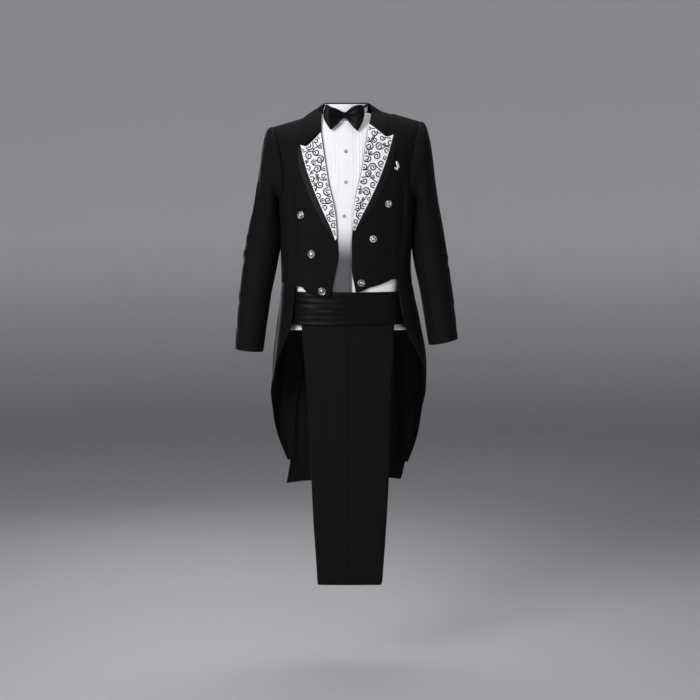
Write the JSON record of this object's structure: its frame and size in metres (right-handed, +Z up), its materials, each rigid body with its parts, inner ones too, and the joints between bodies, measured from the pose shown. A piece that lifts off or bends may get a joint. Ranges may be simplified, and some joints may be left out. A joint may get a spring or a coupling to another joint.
{
  "type": "evening tailcoat set",
  "caption": "Black evening tailcoat with white faced peak lapels, worn over a dress shirt with a bow tie, a pleated cummerbund and folded trousers, all as hollow cloth.",
  "frame": {"origin": "middle of the wearer's neck at its base, where the shirt collar closes round it", "axes": "+Z up along the wearer's body, -Y towards the front of the coat, +X towards the wearer's left"},
  "size_m": [0.6362, 0.2661, 1.3645],
  "materials": {
    "black_wool": "matte",
    "trouser_wool": "matte",
    "black_satin": "satin",
    "white_satin": "satin",
    "white_cotton": "matte",
    "silver": "polished",
    "pearl": "gloss"
  },
  "bodies": {
    "root": {"coat_front_left": "black_wool", "coat_front_right": "black_wool", "coat_side_left": "black_wool", "coat_side_right": "black_wool", "coat_back_left": "black_wool", "coat_back_right": "black_wool", "coat_skirt_left": "black_wool", "coat_skirt_right": "black_wool", "sleeve_top_left": "black_wool", "sleeve_top_right": "black_wool", "sleeve_under_left": "black_wool", "sleeve_under_right": "black_wool", "coat_collar": "black_wool", "trouser_front_near": "trouser_wool", "trouser_back_near": "trouser_wool", "trouser_front_far": "trouser_wool", "trouser_back_far": "trouser_wool", "trouser_waistband": "trouser_wool", "lapel_border_left": "black_satin", "lapel_border_right": "black_satin", "bow_wing_left": "black_satin", "bow_wing_right": "black_satin", "bow_knot": "black_satin", "bow_strap": "black_satin", "cummerbund": "black_satin", "cummerbund_strap": "black_satin", "lapel_left": "white_satin", "lapel_right": "white_satin", "shirt_front_left": "white_cotton", "shirt_front_right": "white_cotton", "shirt_sleeve_left": "white_cotton", "shirt_sleeve_right": "white_cotton", "shirt_back": "white_cotton", "shirt_placket": "white_cotton", "shirt_collar": "white_cotton", "coat_button_upper_left": "silver", "coat_button_upper_right": "silver", "coat_button_middle_left": "silver", "coat_button_middle_right": "silver", "coat_button_lower_left": "silver", "coat_button_lower_right": "silver", "coat_pin": "silver", "shirt_button_1": "pearl", "shirt_button_2": "pearl", "shirt_button_3": "pearl", "shirt_button_4": "pearl", "shirt_button_5": "pearl"}
  },
  "joints": []
}
